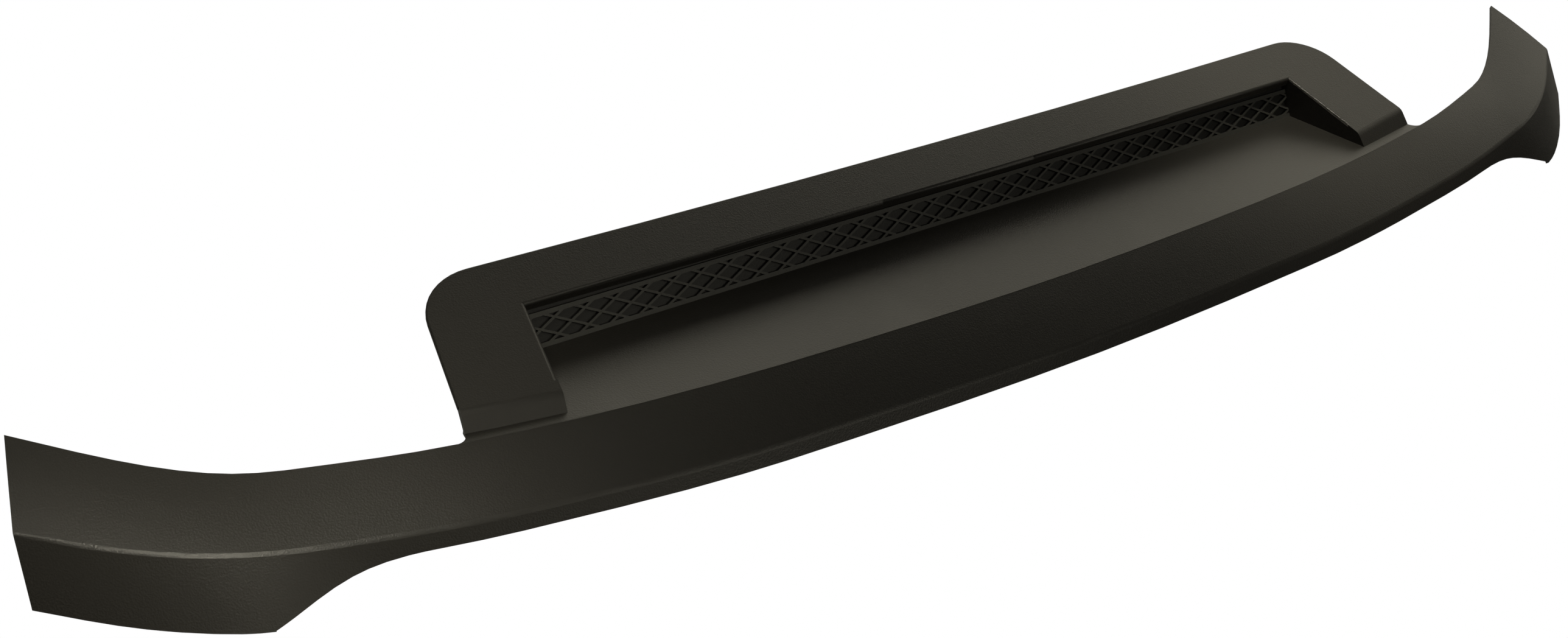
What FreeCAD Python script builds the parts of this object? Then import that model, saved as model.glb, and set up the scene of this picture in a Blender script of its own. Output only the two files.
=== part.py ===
import FreeCAD, Part
import math
import os
import Sketcher

# Hood moulding of a pickup truck: a wide, flat scoop plate with a slim mouth, a bowed front band,
# two swept wings with a skirt, and a blind diamond grille behind the scoop's lip.
# X runs across the vehicle, -Y is its front and +Z is up. The pieces are drawn from the line between the
# mouth's back corners on the plate's top, then moved so that the origin is on the plate's underside,
# in the middle of the seat that lies on the hood.

V = FreeCAD.Vector
doc = FreeCAD.newDocument("hood_molding")
sheet = doc.addObject("Spreadsheet::Sheet", "Sizes")

# Driving dimensions in millimetres and degrees
SIZES = [
    ("wall", 3.0, "thickness of the moulded skin"),
    ("seat_back", 25.0, "middle of the plate's seat on the hood, behind the lip corners"),
    ("plate_back", 40.0, "back edge of the plate at the middle"),
    ("plate_back_bow", 5.0, "how much further back that edge is at its ends"),
    ("plate_half_back", 426.0, "half width of the plate at its back"),
    ("plate_half_front", 442.0, "half width of the plate at the bend of its legs"),
    ("plate_corner_radius", 43.0, "round of the plate's back corners"),
    ("plate_edge_round", 1.2, "round along the plate's outer edge"),
    ("mouth_half_back", 366.0, "half width of the mouth at the lip"),
    ("mouth_half_front", 376.0, "half width of the mouth at the bend of the legs"),
    ("lip_bow", 3.5, "how far the lip bows forward at the middle"),
    ("lip_depth", 4.0, "thickness of the lip's bead"),
    ("lip_height", 7.0, "height of the lip's bead"),
    ("lip_round", 2.4, "round along the lip and the sides of the mouth"),
    ("bend_outer", 68.0, "bend of a leg in front of the lip, at the outside"),
    ("bend_inner", 78.0, "the same at the mouth"),
    ("bend_radius", 9.0, "round of that bend"),
    ("bend_run", 10.3, "run of the sloping face in front of the bend"),
    ("bend_drop", 7.0, "drop of that face"),
    ("notch_radius", 8.0, "round between a leg and the wing"),
    ("floor_low", 17.0, "low end of the recess floor in front of the lip corners"),
    ("floor_depth", 29.5, "depth of that low end"),
    ("floor_tail", 9.0, "floor that carries on under the grille"),
    ("strip_bottom", 22.7, "depth of the band's lower edge"),
    ("arch_half_start", 486.0, "where the arch under the wing begins"),
    ("arch_half_end", 588.0, "corner where the arch meets the skirt"),
    ("arch_radius", 320.0, "radius of the arch"),
    ("crease_radius", 6.0, "round of the crease between band and skirt"),
    ("band_crown", 0.8, "how much the band swells across its width"),
    ("end_back_x", 687.0, "end of the wing at its back corner"),
    ("end_crease_x", 700.0, "end of the wing at the crease"),
    ("end_skirt_x", 702.5, "end of the wing at the skirt's corner"),
    ("grille_high", 6.0, "grille face behind the lip corners, where it meets the plate"),
    ("grille_pitch", 23.0, "width of one diamond"),
    ("grille_rows", 1.78, "diamonds between the two rails"),
    ("grille_rib", 1.7, "width of a rib"),
    ("grille_rib_depth", 3.2, "depth of the ribs"),
    ("grille_back", 1.8, "thickness of the grille's closed back"),
    ("grille_rail", 2.4, "width of the two rails"),
    ("grille_top", 11.0, "depth of the upper rail's edge"),
    ("boss_radius", 5.0, "outer radius of a screw boss"),
    ("boss_bore", 1.7, "radius of its bore"),
    ("boss_length", 16.0, "length of a boss below the skin"),
    ("boss_bore_depth", 12.0, "depth of its bore"),
]

# The band's section at seven stations from the middle to the tip: place across, back edge (forward of
# the lip corners, depth), crease (forward, depth), slope of the skirt and depth of its lower edge
STATIONS = {
    "mid": (0.0, 114.0, 4.5, 168.5, 14.5, 46.0, 38.0),
    "quarter": (250.0, 107.3, 4.5, 161.7, 14.5, 46.0, 38.0),
    "leg": (445.0, 87.7, 5.2, 141.2, 14.5, 45.0, 38.0),
    "flare": (520.0, 70.8, 8.0, 126.6, 14.3, 43.0, 38.5),
    "shoulder": (588.0, 47.7, 12.0, 108.6, 14.0, 33.0, 39.4),
    "wing": (645.0, 7.0, 13.6, 79.3, 16.5, 37.0, 44.8),
    "tip": (708.0, -45.6, 14.6, 32.4, 20.4, 40.5, 50.6),
}
STATION_FIELDS = ("x", "back", "back_depth", "crease", "crease_depth", "slope", "low_depth")

cells = list(SIZES)
for station, values in STATIONS.items():
    for field, value in zip(STATION_FIELDS, values):
        cells.append((f"{station}_{field}", value, f"band section, {station}, {field.replace('_', ' ')}"))
for row, (alias, value, note) in enumerate(cells, start=1):
    sheet.set(f"A{row}", note)
    sheet.set(f"B{row}", str(value))
    sheet.setAlias(f"B{row}", alias)
doc.recompute()


def size(alias):
    return float(sheet.get(alias))


def worked_out(expression):
    return float(sheet.evalExpression(expression))


def feature(name, shape):
    obj = doc.addObject("Part::Feature", name)
    obj.Shape = shape
    return obj


wall = size("wall")
FAR = 900.0
SECTIONS = 16


# Sketch helpers
def origin_plane(body, role):
    return next(f for f in body.Origin.OriginFeatures if f.Role == role)


def new_sketch(body, name, role="XY_Plane"):
    sketch = body.newObject("Sketcher::SketchObject", name)
    sketch.AttachmentSupport = (origin_plane(body, role), "")
    sketch.MapMode = "FlatFace"
    return sketch


def end_at(sketch, geo, point):
    ends = {pos: (sketch.getPoint(geo, pos) - point).Length for pos in (1, 2)}
    return min(ends, key=ends.get)


def draw_outline(sketch, corners, bows):
    """Draws a closed outline through corners, which are pairs of expressions; bows has the bowed sides."""
    points = [V(worked_out(x), worked_out(y), 0) for x, y in corners]
    count = len(points)
    sides = []
    for i, start in enumerate(points):
        end = points[(i + 1) % count]
        if i in bows:
            middle = V((start.x + end.x) / 2, worked_out(bows[i][0]), 0)
            sides.append(sketch.addGeometry(Part.Arc(start, middle, end), False))
        else:
            sides.append(sketch.addGeometry(Part.LineSegment(start, end), False))
    for i, start in enumerate(points):
        before, after = sides[i - 1], sides[i]
        pos = end_at(sketch, after, start)
        meeting = end_at(sketch, before, start)
        sketch.addConstraint(Sketcher.Constraint("Coincident", before, meeting, after, pos))
        for kind, expression, axis in (("DistanceX", corners[i][0], -2), ("DistanceY", corners[i][1], -1)):
            if expression == "0":
                sketch.addConstraint(Sketcher.Constraint("PointOnObject", after, pos, axis))
                continue
            place = sketch.addConstraint(
                Sketcher.Constraint(kind, -1, 1, after, pos, worked_out(expression)))
            sketch.setExpression(f"Constraints[{place}]", expression)
    for i, (_, radius) in bows.items():
        place = sketch.addConstraint(Sketcher.Constraint("Radius", sides[i], worked_out(radius)))
        sketch.setExpression(f"Constraints[{place}]", radius)


def bow_radius(half, bow):
    return f"({half} ^ 2 + {bow} ^ 2) / (2 * {bow})"


# Plan lines that the pieces share
def line_x(x_back, y_back, x_front, y_front, y):
    return x_back + (x_front - x_back) * (y - y_back) / (y_front - y_back)


def mouth_x(y):
    return line_x(size("mouth_half_back"), 0.0, size("mouth_half_front"), -size("bend_inner"), y)


def side_x(y):
    back = size("plate_back") + size("plate_back_bow")
    return line_x(size("plate_half_back"), back, size("plate_half_front"), -size("bend_outer"), y)


def prism(points, low=-90.0, high=30.0):
    wire = Part.makePolygon([V(x, y, low) for x, y in points] + [V(*points[0], low)])
    return Part.Face(wire).extrude(V(0, 0, high - low))


def mirrored(shape):
    return shape.mirror(V(0, 0, 0), V(1, 0, 0))


# Scoop plate: a level U of two legs and a back bar
def make_plate():
    body = doc.addObject("PartDesign::Body", "plate")
    half_back, half_front = "Sizes.plate_half_back", "Sizes.plate_half_front"
    mouth_back, mouth_front = "Sizes.mouth_half_back", "Sizes.mouth_half_front"
    back = "Sizes.plate_back + Sizes.plate_back_bow"
    outer = "-Sizes.bend_outer + Sizes.bend_radius / 2"
    inner = "-Sizes.bend_inner + Sizes.bend_radius / 2"
    outline = new_sketch(body, "plate_outline")
    corners = [
        (f"-{half_back}", back), (half_back, back), (half_front, outer), (mouth_front, inner),
        (mouth_back, "0"), (f"-{mouth_back}", "0"), (f"-{mouth_front}", inner), (f"-{half_front}", outer),
    ]
    lip_bow = ("-Sizes.lip_bow", bow_radius(mouth_back, "Sizes.lip_bow"))
    back_bow = ("Sizes.plate_back", bow_radius(half_back, "Sizes.plate_back_bow"))
    draw_outline(outline, corners, {0: back_bow, 4: lip_bow})
    sheet_pad = body.newObject("PartDesign::Pad", "plate_sheet")
    sheet_pad.Profile = outline
    sheet_pad.Reversed = True
    sheet_pad.setExpression("Length", "Sizes.wall")

    bead = new_sketch(body, "lip_bead_outline")
    bead_back = "Sizes.lip_depth"
    corners = [
        (mouth_back, "0"), (f"-{mouth_back}", "0"),
        (f"-{mouth_back}", bead_back), (mouth_back, bead_back),
    ]
    draw_outline(bead, corners, {0: lip_bow, 2: ("Sizes.lip_depth - Sizes.lip_bow", lip_bow[1])})
    bead_pad = body.newObject("PartDesign::Pad", "lip_bead")
    bead_pad.Profile = bead
    bead_pad.Reversed = True
    bead_pad.setExpression("Length", "Sizes.lip_height")
    doc.recompute()

    # Vertical corners first, then the edges of the top face
    def edges_where(shape, test):
        return [f"Edge{i}" for i, edge in enumerate(shape.Edges, start=1) if test(edge)]

    def upright_at(edge, x, y):
        a, b = edge.Vertexes[0].Point, edge.Vertexes[-1].Point
        return abs(a.x - b.x) + abs(a.y - b.y) < 0.01 and abs(abs(a.x) - x) + abs(a.y - y) < 0.01

    def round_off(name, base, edges, radius):
        fillet = body.newObject("PartDesign::Fillet", name)
        fillet.Base = (base, edges)
        fillet.setExpression("Radius", f"Sizes.{radius}")
        doc.recompute()
        return fillet

    corner_y = size("plate_back") + size("plate_back_bow")
    outside = edges_where(bead_pad.Shape, lambda e: upright_at(e, size("plate_half_back"), corner_y))
    step = round_off("plate_corners", bead_pad, outside, "plate_corner_radius")

    def on_top(edge):
        return edge.BoundBox.ZMin > -0.01

    def of_mouth(edge):
        middle = edge.CenterOfMass
        at_side = abs(abs(middle.x) - mouth_x(middle.y)) < 0.5 and middle.y > -0.75 * size("bend_inner")
        at_lip = abs(middle.x) < 0.5 and middle.y < 0.5
        return on_top(edge) and (at_side or at_lip)

    def of_outside(edge):
        leg_front = edge.CenterOfMass.y < -0.75 * size("bend_outer")
        return on_top(edge) and not leg_front and not of_mouth(edge) and edge.BoundBox.ZLength < 0.01

    step = round_off("plate_round", step, edges_where(step.Shape, of_outside), "plate_edge_round")
    step = round_off("mouth_round", step, edges_where(step.Shape, of_mouth), "lip_round")
    return body


# Band, skirt and wings
def smooth_field(field):
    """A smooth, even curve through one field's values at the stations, with no overshoot between them."""
    half = [(size(f"{name}_x"), size(f"{name}_{field}")) for name in STATIONS]
    points = [(-x, value) for x, value in half[:0:-1]] + half
    rates = [(q[1] - p[1]) / (q[0] - p[0]) for p, q in zip(points, points[1:])]
    slopes = [rates[0]]
    for before, after in zip(rates, rates[1:]):
        slopes.append(2 * before * after / (before + after) if before * after > 0 else 0.0)
    slopes.append(rates[-1])

    def value(x):
        i = min(sum(x > q[0] for q in points[1:-1]), len(points) - 2)
        (x0, y0), (x1, y1) = points[i], points[i + 1]
        run = x1 - x0
        share = (x - x0) / run
        left, right = (1 - share) ** 2, share ** 2
        return (left * ((1 + 2 * share) * y0 + share * run * slopes[i])
                + right * ((3 - 2 * share) * y1 + (share - 1) * run * slopes[i + 1]))
    return value


FIELDS = {field: smooth_field(field) for field in STATION_FIELDS[1:]}


def section_points(x):
    """Back edge, crease and lower edge of the band's section at a place across the vehicle."""
    get = {field: value(x) for field, value in FIELDS.items()}
    back = V(x, -get["back"], -get["back_depth"])
    crease = V(x, -get["crease"], -get["crease_depth"])
    drop = get["low_depth"] - get["crease_depth"]
    low = crease + V(0, -drop / math.tan(math.radians(get["slope"])), -drop)
    return back, crease, low


def band_section(back, crease, low):
    """A closed section: crowned band, round crease, skirt, and the same wall behind them."""
    along = (crease - back).normalize()
    down = (low - crease).normalize()
    band_normal = V(0, along.z, -along.y)
    skirt_normal = V(0, down.z, -down.y)
    turn = along.getAngle(down)
    radius = size("crease_radius")
    reach = radius * math.tan(turn / 2)
    bisector = (band_normal + skirt_normal).normalize()

    def run(inset):
        start = back - band_normal * inset
        corner = crease - bisector * (inset / math.cos(turn / 2))
        end = low - skirt_normal * inset
        bend = reach * (radius - inset) / radius
        before, after = corner - along * bend, corner + down * bend
        arc_middle = corner - bisector * ((radius - inset) * (1 / math.cos(turn / 2) - 1))
        crown = (start + before) * 0.5 + band_normal * size("band_crown")
        return start, crown, before, arc_middle, after, end

    outer, inner = run(0.0), run(wall)

    def edges(points):
        return [
            Part.Arc(points[0], points[1], points[2]).toShape(),
            Part.Arc(points[2], points[3], points[4]).toShape(),
            Part.LineSegment(points[4], points[5]).toShape(),
        ]
    low_end = Part.LineSegment(outer[5], inner[5]).toShape()
    back_end = Part.LineSegment(inner[0], outer[0]).toShape()
    return Part.Wire(Part.__sortEdges__(edges(outer) + [low_end] + edges(inner) + [back_end]))


def make_band():
    step = size("tip_x") / SECTIONS
    places = [step * i for i in range(-SECTIONS - 2, SECTIONS + 3)]
    loft = Part.makeLoft([band_section(*section_points(x)) for x in places], True, False)

    # Arch and lower edge, cut from the front
    start, end, bottom = size("arch_half_start"), size("arch_half_end"), -size("strip_bottom")
    radius = size("arch_radius")

    def arch(x):
        return bottom - radius + math.sqrt(radius ** 2 - (x - start) ** 2)
    middle = (start + end) / 2
    right_arch = Part.Arc(V(start, 0, bottom), V(middle, 0, arch(middle)), V(end, 0, arch(end))).toShape()
    left_arch = Part.Arc(V(-end, 0, arch(end)), V(-middle, 0, arch(middle)), V(-start, 0, bottom)).toShape()
    path = [V(end, 0, arch(end)), V(end, 0, -FAR), V(-end, 0, -FAR), V(-end, 0, arch(end))]
    wire = Part.Wire([
        Part.LineSegment(V(-start, 0, bottom), V(start, 0, bottom)).toShape(), right_arch,
        *Part.makePolygon(path).Edges, left_arch,
    ])
    under = Part.Face(wire).extrude(V(0, -FAR, 0))

    # Wing ends, cut upright along the back corner, the crease's end and the skirt's corner
    tip_x, crease_x, skirt_x = size("end_back_x"), size("end_crease_x"), size("end_skirt_x")
    tip = (tip_x, section_points(tip_x)[0].y)
    crease = (crease_x, section_points(crease_x)[1].y)
    skirt = (skirt_x, section_points(skirt_x)[2].y)
    slope = (crease_x - tip_x) / (tip[1] - crease[1])
    behind = (tip_x - slope * FAR / 4, tip[1] + FAR / 4)
    end_cut = prism([behind, tip, crease, skirt, (skirt_x, -FAR), (FAR, -FAR), (FAR, FAR)])
    return loft.cut([under, end_cut, mirrored(end_cut)])


# Recess floor, carried on in front of the legs up to the band's back edge
def floor_section(x, top, thickness):
    """Section of the floor from the band's back edge to its low end and on under the grille."""
    back = section_points(x)[0]
    low = V(x, -size("floor_low"), -size("floor_depth"))
    run = (low - back).normalize()
    tail = low + run * size("floor_tail")
    front = back - run * 0.5
    upper, lower = V(0, 0, -top), V(0, 0, -top - thickness)
    return Part.makePolygon([front + upper, tail + upper, tail + lower, front + lower, front + upper])


def floor_loft(top, thickness):
    reach = size("plate_half_front") + 3 * size("notch_radius")
    places = [reach * i / 4 for i in range(-4, 5)]
    return Part.makeLoft([floor_section(x, top, thickness) for x in places], True, False)


def make_floor():
    loft = floor_loft(0.0, wall)
    mid_y = -size("mid_back") - 20
    mouth = [(mouth_x(30.0) + wall, 30.0), (mouth_x(mid_y) + wall, mid_y)]
    recess = prism(mouth + [(-x, y) for x, y in reversed(mouth)])

    # In front of a leg: back to just behind the foot of its sloping face, with the notch's round beside it
    leg_back = section_points(size("plate_half_front"))[0]
    radius = size("notch_radius")
    top_y = leg_back.y + radius + 1.5
    foot_in = -size("bend_inner") - size("bend_run") + 3
    foot_out = -size("bend_outer") - size("bend_run") + 3
    foot_out = max(foot_out, top_y + 0.5)
    start = V(side_x(top_y), top_y, -90)
    centre = start + V(radius, 0, 0)
    arc_middle = centre + V(-radius * math.cos(math.pi / 4), -radius * math.sin(math.pi / 4), 0)
    arc_end = centre + V(0, -radius, 0)
    corners = [
        arc_end, V(arc_end.x, mid_y, -90), V(mouth_x(mid_y), mid_y, -90),
        V(mouth_x(foot_in), foot_in, -90), V(side_x(foot_out), foot_out, -90), start,
    ]
    wire = Part.Wire([*Part.makePolygon(corners).Edges, Part.Arc(start, arc_middle, arc_end).toShape()])
    strip = Part.Face(wire).extrude(V(0, 0, 120))
    keep = recess.fuse([strip, mirrored(strip)])
    return loft.common(keep)


# Leg fronts: the bend and the sloping face down to the floor strip
def leg_front_section(x, bend_y):
    radius = size("bend_radius")
    run, drop = size("bend_run"), size("bend_drop")
    turn = math.atan2(drop, run)
    reach = radius * math.tan(turn / 2)
    level, slope = V(0, -1, 0), V(0, -math.cos(turn), -math.sin(turn))
    bend = V(x, bend_y, 0)
    start = bend - level * (radius + 2)
    before, after = bend - level * reach, bend + slope * reach
    half = turn / 2
    middle = V(x, bend_y, 0) + V(0, math.sin(half), -math.cos(half)) * (radius * (1 / math.cos(half) - 1))
    foot = bend + V(0, -run, -drop) + slope * 1.5
    below = V(0, 0, -wall)
    return Part.Wire([
        Part.LineSegment(start, before).toShape(), Part.Arc(before, middle, after).toShape(),
        Part.LineSegment(after, foot).toShape(), Part.LineSegment(foot, foot + below).toShape(),
        Part.LineSegment(foot + below, start + below).toShape(),
        Part.LineSegment(start + below, start).toShape(),
    ])


def make_leg_front():
    inner, outer = size("mouth_half_front"), size("plate_half_front")
    rate = (size("bend_inner") - size("bend_outer")) / (outer - inner)

    def bend_y(x):
        return -size("bend_inner") + rate * (x - inner)
    loft = Part.makeLoft([leg_front_section(x, bend_y(x)) for x in (inner - 6, outer + 6)], True, True)
    top, front = -20.0, -140.0
    plan = [(mouth_x(top), top), (side_x(top), top), (side_x(front), front), (mouth_x(front), front)]
    return loft.common(prism(plan))


# Side walls of the recess, from the plate down to the floor
def make_side_wall():
    bend, foot = size("bend_inner"), size("bend_inner") + size("bend_run")
    back = size("grille_high") + wall + 2 * size("grille_rib_depth")
    low = -size("floor_depth") - wall - size("floor_tail") / 2
    points = [
        (back, -wall / 2), (-bend + 2, -wall / 2), (-foot, -size("bend_drop") - wall / 2),
        (-foot, low), (back, low),
    ]
    wire = Part.makePolygon([V(0, y, z) for y, z in points + points[:1]])
    profile = Part.Face(wire).extrude(V(FAR, 0, 0))
    near, far = 40.0, -140.0
    plan = [
        (mouth_x(near), near), (mouth_x(near) + wall, near),
        (mouth_x(far) + wall, far), (mouth_x(far), far),
    ]
    return profile.common(prism(plan)).cut(floor_loft(wall, 60.0))


# Screw bosses on the underside, with blind bores from below
def boss_places():
    shoulder_back, shoulder_crease, _ = section_points(size("shoulder_x"))
    wing_y = (shoulder_back.y + shoulder_crease.y) / 2
    wing_z = (shoulder_back.z + shoulder_crease.z) / 2
    leg_y = -size("bend_outer") / 3
    leg_x = (mouth_x(leg_y) + side_x(leg_y)) / 2 + wall / 2
    return {"leg": V(leg_x, leg_y, 0), "wing": V(shoulder_back.x, wing_y, wing_z)}


def make_boss(name, place):
    top = place.z - wall / 2
    bottom = place.z - wall - size("boss_length")
    post = doc.addObject("Part::Cylinder", f"{name}_post")
    post.setExpression("Radius", "Sizes.boss_radius")
    post.Height = top - bottom
    post.Placement.Base = V(place.x, place.y, bottom)
    bore = doc.addObject("Part::Cylinder", f"{name}_bore")
    bore.setExpression("Radius", "Sizes.boss_bore")
    bore.setExpression("Height", "Sizes.boss_bore_depth")
    bore.Placement.Base = V(place.x, place.y, bottom)
    return post, bore


# Grille insert behind the lip: a flat, closed back that leans back, two rails and a lattice of ribs
def grille_face(x, depth):
    """Point of the grille's front face at a depth below the plate's top."""
    low, high = V(x, -size("floor_low"), -size("floor_depth")), V(x, size("grille_high"), -wall)
    return high + (low - high) * ((depth - wall) / (size("floor_depth") - wall))


def grille_inward():
    down = (grille_face(0, size("floor_depth")) - grille_face(0, wall)).normalize()
    return V(0, -down.z, down.y)


def grille_bar(inset, thickness, top_depth, low_depth):
    """A bar across the whole grille, from one depth to another, set back by the inset."""
    half = size("mouth_half_back") + 12
    inward = grille_inward()
    top, low = grille_face(-half, top_depth), grille_face(-half, low_depth)
    corners = [top + inward * inset, low + inward * inset]
    corners += [low + inward * (inset + thickness), top + inward * (inset + thickness)]
    return Part.Face(Part.makePolygon(corners + corners[:1])).extrude(V(2 * half, 0, 0))


def grille_rib(x_low, x_high, depth_low, depth_high):
    low, high = grille_face(x_low, depth_low), grille_face(x_high, depth_high)
    inward = grille_inward()
    side = (high - low).cross(inward).normalize() * (size("grille_rib") / 2)
    wire = Part.makePolygon([low - side, low + side, high + side, high - side, low - side])
    return Part.Face(wire).extrude(inward * (size("grille_rib_depth") + size("grille_back") / 2))


def make_grille(around):
    depth, back, rail = size("grille_rib_depth"), size("grille_back"), size("grille_rail")
    top, low = size("grille_top"), size("floor_depth")
    half, pitch = size("mouth_half_back"), size("grille_pitch")
    frame = grille_bar(depth, back, wall, low + depth + back).fuse([
        grille_bar(0.0, depth + back / 2, top, top + rail),
        grille_bar(0.0, depth + back / 2, low - rail, low + depth + back)])
    near, far = 40.0, -40.0
    ends = [(mouth_x(near), near), (mouth_x(far), far)]
    mouth = prism(ends + [(-x, y) for x, y in reversed(ends)])
    frame = max(frame.common(mouth).cut(around).Solids, key=lambda solid: solid.Volume)

    shift = size("grille_rows") * pitch
    count = int((2 * half + shift) / pitch) + 1
    first = -(count - 1) * pitch / 2
    ribs = []
    for i in range(count):
        x = first + i * pitch
        ribs.append(grille_rib(x - shift / 2, x + shift / 2, low - rail / 2, top + rail / 2))
        ribs.append(grille_rib(x + shift / 2, x - shift / 2, low - rail / 2, top + rail / 2))
    lattice = ribs[0].fuse(ribs[1:]).common(mouth).cut(around)
    return frame.fuse(lattice).removeSplitter()


# The moulding: every moulded piece fused, then the bores
plate = make_plate()
band = feature("band", make_band())
floor = feature("recess_floor", make_floor())
leg_front = make_leg_front()
side_wall = make_side_wall()
pieces = [plate, band, floor]
for side, shape in (("right", leg_front), ("left", mirrored(leg_front))):
    pieces.append(feature(f"leg_front_{side}", shape))
for side, shape in (("right", side_wall), ("left", mirrored(side_wall))):
    pieces.append(feature(f"side_wall_{side}", shape))
bores = []
for name, place in boss_places().items():
    for side, sign in (("right", 1), ("left", -1)):
        post, bore = make_boss(f"{name}_{side}", V(sign * place.x, place.y, place.z))
        pieces.append(post)
        bores.append(bore)
doc.recompute()

skin = doc.addObject("Part::MultiFuse", "moulded_skin")
skin.Shapes = pieces
skin.Refine = True
drills = doc.addObject("Part::MultiFuse", "drills")
drills.Shapes = bores
moulding = doc.addObject("Part::Cut", "moulding")
moulding.Base = skin
moulding.Tool = drills
moulding.Label = "hood_molding"
doc.recompute()

grille = feature("grille", make_grille([floor.Shape, plate.Shape]))
grille.Label = "scoop_grille"
for obj in (moulding, grille):
    obj.Placement.Base = V(0, -size("seat_back"), wall)
doc.recompute()

# Every object and both pieces are checked before anything is written
for obj in doc.Objects:
    if "Invalid" in obj.State or "Error" in obj.State:
        raise RuntimeError(f"{obj.Name}: {obj.State}")
os.makedirs("parts", exist_ok=True)
for obj in (moulding, grille):
    shape = obj.Shape
    if shape.isNull() or not shape.isValid() or len(shape.Solids) != 1:
        raise RuntimeError(f"{obj.Label}: null, not valid or not one solid ({len(shape.Solids)})")
    shape.exportStep(f"parts/{obj.Label}.step")
    print(obj.Label, len(shape.Faces), "faces", round(shape.Volume), "mm3", shape.BoundBox)
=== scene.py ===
# %% [markdown]
# # Hood moulding: looks
# The part is a long black moulding for the front edge of a hood, with a slim scoop and a diamond grille.
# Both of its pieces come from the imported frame, so no mesh is made here. This lesson gives them their
# finish, sets a soft studio round them and places the camera where the photograph was taken.

# %% Frame
import math
import bpy
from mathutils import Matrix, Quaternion, Vector


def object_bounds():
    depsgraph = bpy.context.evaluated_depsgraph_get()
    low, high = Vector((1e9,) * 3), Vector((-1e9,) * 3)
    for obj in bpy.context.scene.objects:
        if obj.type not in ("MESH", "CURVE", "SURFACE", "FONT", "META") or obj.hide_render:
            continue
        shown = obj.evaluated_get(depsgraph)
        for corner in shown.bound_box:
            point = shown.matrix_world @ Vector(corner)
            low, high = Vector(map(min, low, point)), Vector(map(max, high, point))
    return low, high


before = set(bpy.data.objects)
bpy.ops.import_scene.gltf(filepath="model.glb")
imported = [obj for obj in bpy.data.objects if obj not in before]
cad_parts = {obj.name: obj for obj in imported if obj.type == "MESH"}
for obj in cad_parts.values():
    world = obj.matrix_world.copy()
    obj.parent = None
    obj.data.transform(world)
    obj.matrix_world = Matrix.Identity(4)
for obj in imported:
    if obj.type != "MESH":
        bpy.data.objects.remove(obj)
cad_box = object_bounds()
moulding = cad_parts["hood_molding"]
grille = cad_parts["scoop_grille"]
scene = bpy.context.scene
print("pieces:", sorted(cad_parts))
print("box in metres:", [tuple(round(c, 4) for c in corner) for corner in cad_box])

# %% [markdown]
# ## Node helpers
# A finish is a tree of nodes. It could be drawn by hand in the editor, but a script can be read and run
# again. Two small functions keep the trees short: one adds a node with its values, one links two sockets.

# %% Node helpers
def add_node(tree, kind, **values):
    node = tree.nodes.new(kind)
    for name, value in values.items():
        if name in node.inputs:
            node.inputs[name].default_value = value
        else:
            setattr(node, name, value)
    return node


def link(tree, start, end):
    tree.links.new(start, end)


print("helpers:", add_node.__name__, "and", link.__name__)

# %% [markdown]
# ## Fine grain
# The real skin has the fine, even grain of plastic from a textured mould. It could be dents in the mesh,
# but that would take millions of faces. A bump pattern is enough at this size: cells about a millimetre
# wide, with finer noise on top. Both plastics use it, so it is one shared group with a scale and a
# strength.

# %% Fine grain
NOISE_DETAIL = 3.0
NOISE_ROUGHNESS = 0.6
NOISE_FINENESS = 2.3
NOISE_SHARE = 0.6
GRAIN_HEIGHT = 0.0006


def make_grain_group():
    group = bpy.data.node_groups.new("fine plastic grain", "ShaderNodeTree")
    sockets = group.interface
    sockets.new_socket("Scale", in_out="INPUT", socket_type="NodeSocketFloat")
    sockets.new_socket("Strength", in_out="INPUT", socket_type="NodeSocketFloat")
    sockets.new_socket("Normal", in_out="OUTPUT", socket_type="NodeSocketVector")
    entry = group.nodes.new("NodeGroupInput")
    leave = group.nodes.new("NodeGroupOutput")
    place = group.nodes.new("ShaderNodeTexCoord")
    cells = add_node(group, "ShaderNodeTexVoronoi", feature="SMOOTH_F1")
    noise = add_node(group, "ShaderNodeTexNoise", Detail=NOISE_DETAIL, Roughness=NOISE_ROUGHNESS)
    finer = add_node(group, "ShaderNodeMath", operation="MULTIPLY")
    finer.inputs[1].default_value = NOISE_FINENESS
    both = add_node(group, "ShaderNodeMath", operation="MULTIPLY_ADD")
    both.inputs[1].default_value = NOISE_SHARE
    bump = add_node(group, "ShaderNodeBump", Distance=GRAIN_HEIGHT)
    link(group, place.outputs["Object"], cells.inputs["Vector"])
    link(group, place.outputs["Object"], noise.inputs["Vector"])
    link(group, entry.outputs["Scale"], cells.inputs["Scale"])
    link(group, entry.outputs["Scale"], finer.inputs[0])
    link(group, finer.outputs["Value"], noise.inputs["Scale"])
    link(group, noise.outputs[0], both.inputs[0])
    link(group, cells.outputs["Distance"], both.inputs[2])
    link(group, both.outputs["Value"], bump.inputs["Height"])
    link(group, entry.outputs["Strength"], bump.inputs["Strength"])
    link(group, bump.outputs["Normal"], leave.inputs["Normal"])
    return group


grain = make_grain_group()
print("group:", grain.name)

# %% [markdown]
# ## Plastics
# The real skin is a satin black with a warm cast, and the grille behind the lip looks like the same resin, a
# little duller. Each could have a material drawn for itself. One function makes both instead, so that they
# stay alike and differ only in colour, roughness and grain.

# %% Plastics
SKIN_COLOUR = (0.026, 0.0245, 0.0215, 1.0)
SKIN_ROUGHNESS = 0.42
SKIN_GRAIN = {"Scale": 900.0, "Strength": 0.22}
RIB_COLOUR = (0.05, 0.05, 0.045, 1.0)
GRILLE_ROUGHNESS = 0.5
GRILLE_GRAIN = {"Scale": 1200.0, "Strength": 0.15}


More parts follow.
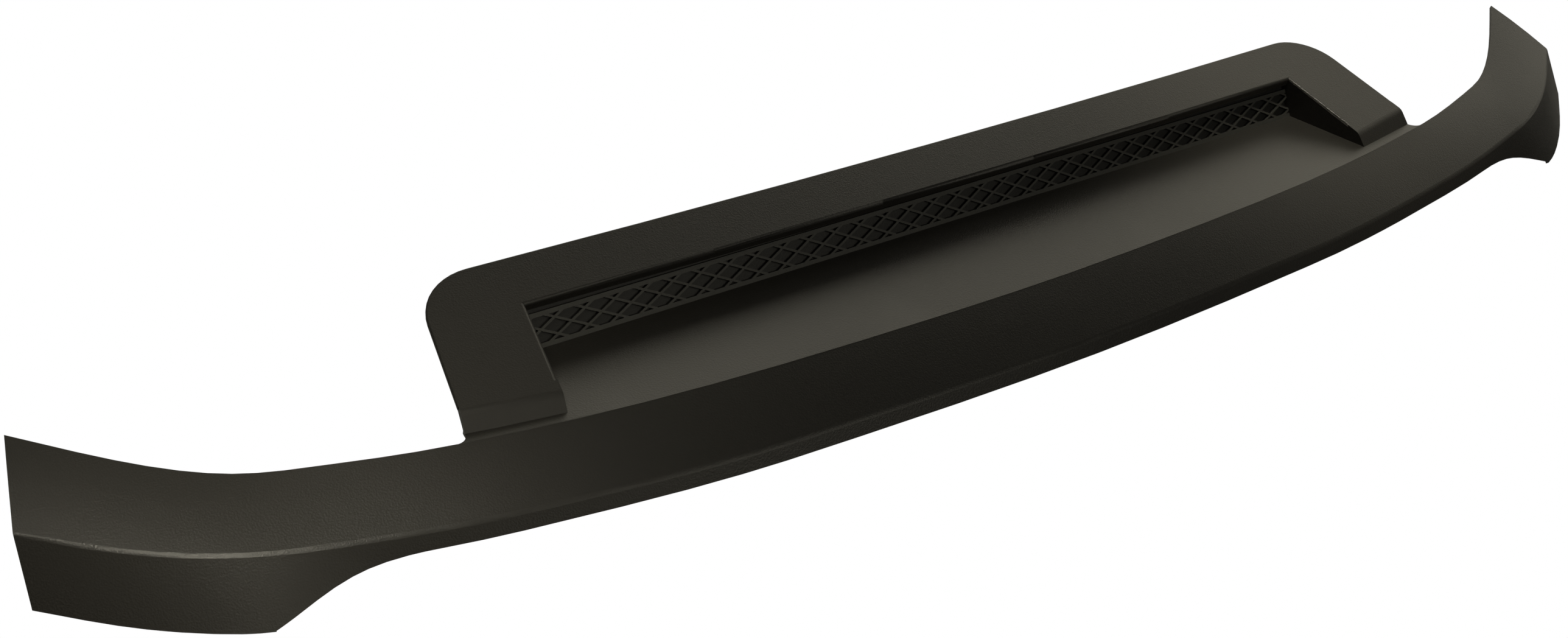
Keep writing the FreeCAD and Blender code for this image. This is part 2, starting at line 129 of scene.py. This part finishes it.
def make_plastic(name, colour, roughness, grain_values):
    material = bpy.data.materials.new(name)
    material.use_nodes = True
    tree = material.node_tree
    shader = tree.nodes["Principled BSDF"]
    shader.inputs["Base Color"].default_value = colour
    shader.inputs["Roughness"].default_value = roughness
    surface = tree.nodes.new("ShaderNodeGroup")
    surface.node_tree = grain
    for socket, value in grain_values.items():
        surface.inputs[socket].default_value = value
    link(tree, surface.outputs["Normal"], shader.inputs["Normal"])
    return material


skin_plastic = make_plastic("grained satin black plastic", SKIN_COLOUR, SKIN_ROUGHNESS, SKIN_GRAIN)
grille_plastic = make_plastic("dull black grille plastic", RIB_COLOUR, GRILLE_ROUGHNESS, GRILLE_GRAIN)
print("materials:", skin_plastic.name, "and", grille_plastic.name)

# %% [markdown]
# ## Grille cells: painted shade
# On the real grille the ribs catch a little light, and the cells between them lie in deep shade and look
# almost black. Shadow alone could do this, but the closed back behind the ribs would still show as a grey
# wall, so the shade is painted into the colour. The back is the grille's largest flat face and leans as the
# ribs do, so its direction gives the depth behind the ribs' face, in metres. That depth tells ribs from
# cells and mixes the ribs' colour with a painted cell shade.

# %% Grille cells: painted shade
# The cells' near-black colour below is painted shade, not the resin's own colour.
CELL_SHADE_COLOUR = (0.004, 0.004, 0.0035, 1.0)
RIB_DEPTH = 0.0032
RIB_TONE_ENDS = 0.05 * RIB_DEPTH
CELL_SHADE_STARTS = 0.6 * RIB_DEPTH
closed_back = max(grille.data.polygons, key=lambda polygon: polygon.area)
inward = closed_back.normal.copy()
rib_face = min(inward.dot(vertex.co) for vertex in grille.data.vertices)


# Paints shade into the cells: past the ribs' face the colour turns to the painted shade.
def paint_cell_shade(material):
    tree = material.node_tree
    place = tree.nodes.new("ShaderNodeTexCoord")
    depth = add_node(tree, "ShaderNodeVectorMath", operation="DOT_PRODUCT")
    depth.inputs[1].default_value = inward
    painted_shade_share = tree.nodes.new("ShaderNodeMapRange")
    painted_shade_share.inputs["From Min"].default_value = rib_face + RIB_TONE_ENDS
    painted_shade_share.inputs["From Max"].default_value = rib_face + CELL_SHADE_STARTS
    mix = add_node(tree, "ShaderNodeMix", data_type="RGBA")
    rib_tone, painted_cell_shade = [socket for socket in mix.inputs if socket.type == "RGBA"]
    rib_tone.default_value = RIB_COLOUR
    painted_cell_shade.default_value = CELL_SHADE_COLOUR
    mixed = next(socket for socket in mix.outputs if socket.type == "RGBA")
    link(tree, place.outputs["Object"], depth.inputs[0])
    link(tree, depth.outputs["Value"], painted_shade_share.inputs["Value"])
    link(tree, painted_shade_share.outputs["Result"], mix.inputs[0])
    link(tree, mixed, tree.nodes["Principled BSDF"].inputs["Base Color"])


paint_cell_shade(grille_plastic)
print("inward:", tuple(round(c, 4) for c in inward), "ribs' face:", round(rib_face, 5), "m")

# %% [markdown]
# ## Smooth skins
# A moulded skin runs smoothly over its curves and has crisp edges. The pieces arrive as flat triangles. More
# triangles could hide that, but smooth shading does it and moves no point: only edges that are sharper than
# the angle, in degrees, stay crisp.

# %% Smooth skins
SKIN_CRISP_ANGLE = 22.0
GRILLE_CRISP_ANGLE = 20.0


def finish_piece(piece, material, crisp_angle):
    piece.data.materials.clear()
    piece.data.materials.append(material)
    for polygon in piece.data.polygons:
        polygon.material_index = 0
    piece.data.shade_smooth()
    piece.data.set_sharp_from_angle(angle=math.radians(crisp_angle))


finish_piece(moulding, skin_plastic, SKIN_CRISP_ANGLE)
finish_piece(grille, grille_plastic, GRILLE_CRISP_ANGLE)
print("smooth:", moulding.name, "and", grille.name)

# %% [markdown]
# ## Soft lights
# One big lamp would light all faces alike. Here wide soft ones stand low behind the scoop and to its
# right. The lip keeps them off the back of the recess, so its floor brightens towards the front. Weak high
# ones lift the band, the legs and the strip. Two narrow spots draw the highlight on the near wing's crease
# and the bright rim at the mouth's far end. Each has a place, an aim, a size, a spread in degrees and a
# power.

# %% Soft lights
low, high = cad_box
centre = (low + high) / 2
WIDE = 180.0
NEAR_WING = Vector((0.85 * low.x, -0.13, -0.01))
FAR_RIM = Vector((0.53 * high.x, -0.06, 0.0))
LIGHT_COLOUR = (1.0, 0.945, 0.78)
LIGHTS = {
    "low behind": ((0.9, 2.3, 0.75), centre, 1.2, WIDE, 7.6),
    "low behind right": ((1.9, 1.7, 0.6), centre, 1.4, WIDE, 6.8),
    "low right": ((2.4, 0.5, 0.6), centre, 1.4, WIDE, 4.6),
    "high right": ((1.6, 1.2, 1.8), centre, 1.4, WIDE, 1.8),
    "high front": ((0.3, -1.3, 1.2), centre, 0.8, WIDE, 3.6),
    "crease spot": ((-0.9, -0.15, 1.2), NEAR_WING, 0.35, 30.0, 0.38),
    "rim spot": ((0.25, 0.45, 1.2), FAR_RIM, 0.25, 18.0, 0.14),
}


def make_soft_light(name, place, aim, size, spread, power):
    data = bpy.data.lights.new(name, "AREA")
    data.shape = "DISK"
    data.size = size
    data.spread = math.radians(spread)
    data.energy = power
    data.color = LIGHT_COLOUR
    lamp = bpy.data.objects.new(name, data)
    lamp.location = place
    lamp.rotation_mode = "QUATERNION"
    lamp.rotation_quaternion = (aim - Vector(place)).to_track_quat("-Z", "Y")
    scene.collection.objects.link(lamp)
    return lamp


lights = [make_soft_light(name, *values) for name, values in LIGHTS.items()]
print("lights:", [lamp.name for lamp in lights])

# %% [markdown]
# ## Floor and air
# A pale floor under the part throws a little light back up, and the air adds a faint even light. Bright
# air would wash out the black, and dim air would look grey. So both are split by the kind of ray: the
# camera sees plain white, and the part gets only the weak light.

# %% Floor and air
WHITE = (1.0, 1.0, 1.0, 1.0)
FLOOR_COLOUR = (0.8, 0.8, 0.8, 1.0)
FLOOR_SIZE = 12.0
FLOOR_DROP = 0.35
AIR_STRENGTH = 0.025


def split_by_ray(tree, lighting, shown, surface):
    ray = tree.nodes.new("ShaderNodeLightPath")
    mix = tree.nodes.new("ShaderNodeMixShader")
    link(tree, ray.outputs["Is Camera Ray"], mix.inputs[0])
    link(tree, lighting.outputs[0], mix.inputs[1])
    link(tree, shown.outputs[0], mix.inputs[2])
    link(tree, mix.outputs[0], surface)


def make_floor_material():
    material = bpy.data.materials.new("pale studio floor")
    material.use_nodes = True
    tree = material.node_tree
    tree.nodes.clear()
    matt = add_node(tree, "ShaderNodeBsdfDiffuse", Color=FLOOR_COLOUR)
    white = add_node(tree, "ShaderNodeEmission", Color=WHITE, Strength=1.0)
    out = tree.nodes.new("ShaderNodeOutputMaterial")
    split_by_ray(tree, matt, white, out.inputs["Surface"])
    return material


def make_air():
    world = bpy.data.worlds.new("studio air")
    world.use_nodes = True
    tree = world.node_tree
    faint = tree.nodes["Background"]
    faint.inputs["Color"].default_value = WHITE
    faint.inputs["Strength"].default_value = AIR_STRENGTH
    white = add_node(tree, "ShaderNodeBackground", Color=WHITE, Strength=1.0)
    split_by_ray(tree, faint, white, tree.nodes["World Output"].inputs["Surface"])
    return world


bpy.ops.mesh.primitive_plane_add(size=FLOOR_SIZE, location=(0.0, 0.0, low.z - FLOOR_DROP))
floor = bpy.context.object
floor.name = "studio floor"
floor.data.materials.append(make_floor_material())
scene.world = make_air()
scene.view_settings.view_transform = "Standard"
print("floor:", floor.name, "and air:", scene.world.name)

# %% [markdown]
# ## Camera
# The camera stands where the photograph was taken. It could be matched by eye, but the part's halves
# mirror each other, and that gives a surer way: the camera's place in the part's frame, where it looks and
# its roll.

# %% Camera
CAMERA_PLACE = (-0.7387, -0.6761, 0.8156)
CAMERA_AZIMUTH = 42.77
CAMERA_DROP = 46.09
CAMERA_ROLL = 15.63
FOCAL_PIXELS = 2700.0
IMAGE_WIDTH = 2576.0
SENSOR_WIDTH = 36.0
NEAREST_SEEN = 0.01


def make_camera():
    data = bpy.data.cameras.new("photo camera")
    data.sensor_width = SENSOR_WIDTH
    data.lens = SENSOR_WIDTH * FOCAL_PIXELS / IMAGE_WIDTH
    data.clip_start = NEAREST_SEEN
    camera = bpy.data.objects.new("photo camera", data)
    turn = math.radians(CAMERA_AZIMUTH)
    drop = math.radians(CAMERA_DROP)
    look = Vector((math.sin(turn) * math.cos(drop), math.cos(turn) * math.cos(drop), -math.sin(drop)))
    roll = Quaternion((0.0, 0.0, 1.0), math.radians(CAMERA_ROLL))
    camera.location = CAMERA_PLACE
    camera.rotation_mode = "QUATERNION"
    camera.rotation_quaternion = look.to_track_quat("-Z", "Y") @ roll
    scene.collection.objects.link(camera)
    scene.camera = camera
    return camera


camera = make_camera()
print("lens:", round(camera.data.lens, 2), "mm")
